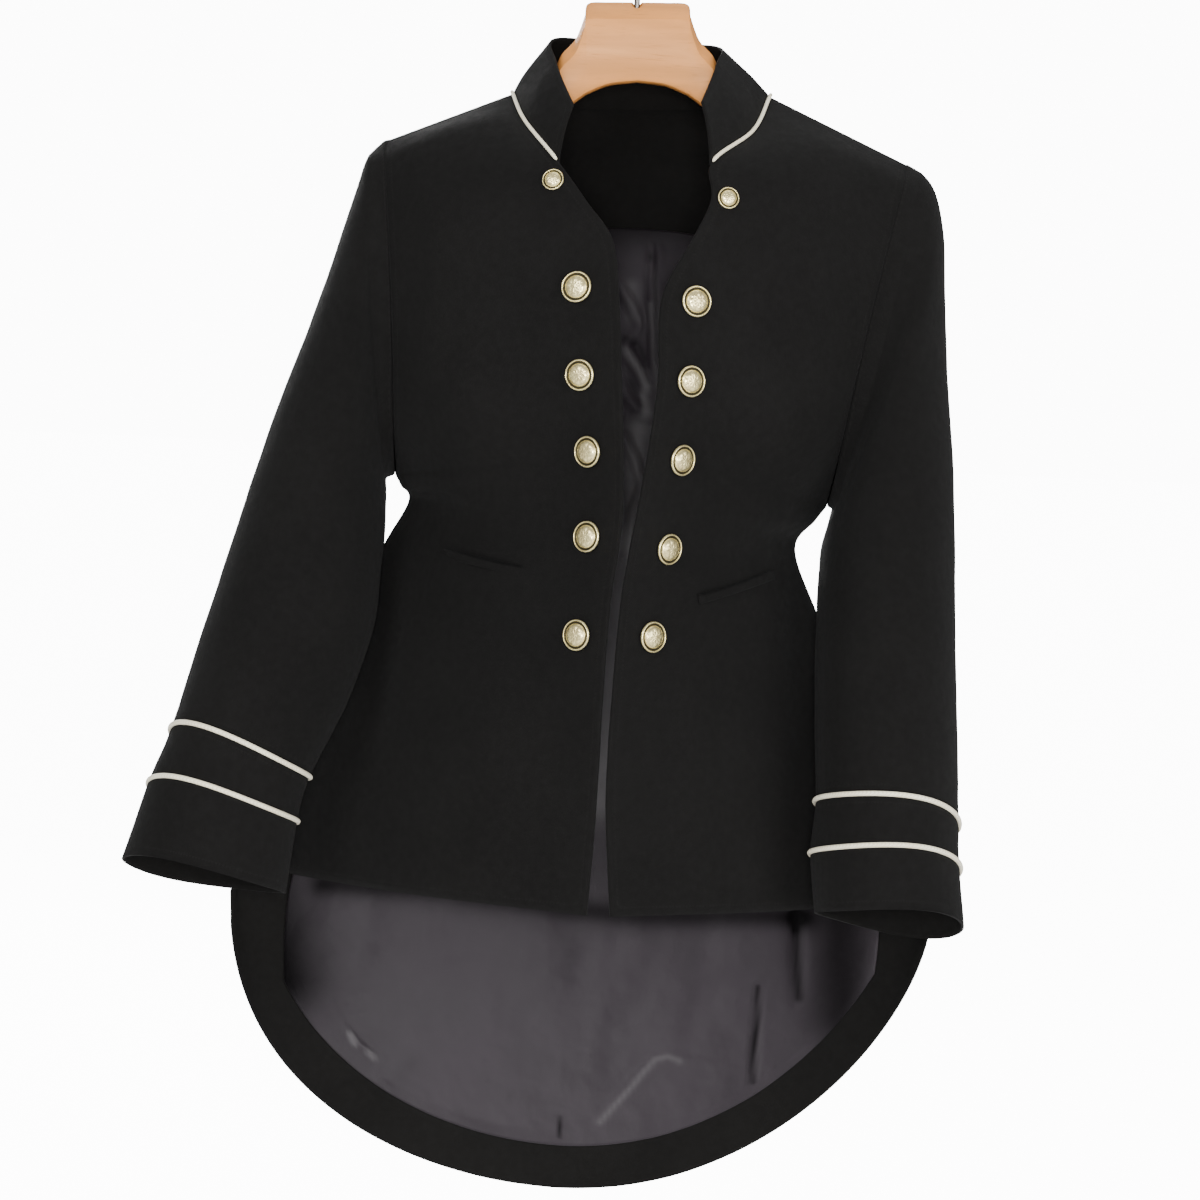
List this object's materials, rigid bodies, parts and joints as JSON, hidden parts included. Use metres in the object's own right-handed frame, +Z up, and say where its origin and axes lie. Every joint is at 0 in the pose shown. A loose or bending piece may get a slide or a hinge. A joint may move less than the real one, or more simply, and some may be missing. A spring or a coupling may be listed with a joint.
{
  "type": "military-style blazer on a hanger",
  "caption": "Open stand-collar blazer with gold buttons, piped cuffs and a long rounded back, hanging by its hook on a wooden hanger.",
  "frame": {"origin": "where the hook bears on its rail, at the top inside the bow", "axes": "+Z up, -Y the way the front faces, +X the wearer's left"},
  "size_m": [0.5909, 0.2719, 0.9587],
  "materials": {
    "cloth": "matt black twill",
    "satin": "smooth grey lining satin",
    "cream": "cream cord piping with a pale gold cast",
    "gold": "polished pale gold",
    "wood": "clear satin varnish",
    "steel": "bright plated wire"
  },
  "bodies": {
    "root": {"front_right": "cloth", "front_left": "cloth", "back": "cloth", "lining": "satin", "sleeve_right": "cloth", "sleeve_left": "cloth", "cuff_right": "cloth", "cuff_left": "cloth", "collar": "cloth", "welt_right": "cloth", "welt_left": "cloth", "piping_collar": "cream", "piping_right_upper": "cream", "piping_right_lower": "cream", "piping_left_upper": "cream", "piping_left_lower": "cream", "button_right_0": "gold", "button_right_1": "gold", "button_right_2": "gold", "button_right_3": "gold", "button_right_4": "gold", "button_right_5": "gold", "button_left_0": "gold", "button_left_1": "gold", "button_left_2": "gold", "button_left_3": "gold", "button_left_4": "gold", "button_left_5": "gold", "hanger": "wood", "hook": "steel"}
  },
  "joints": []
}
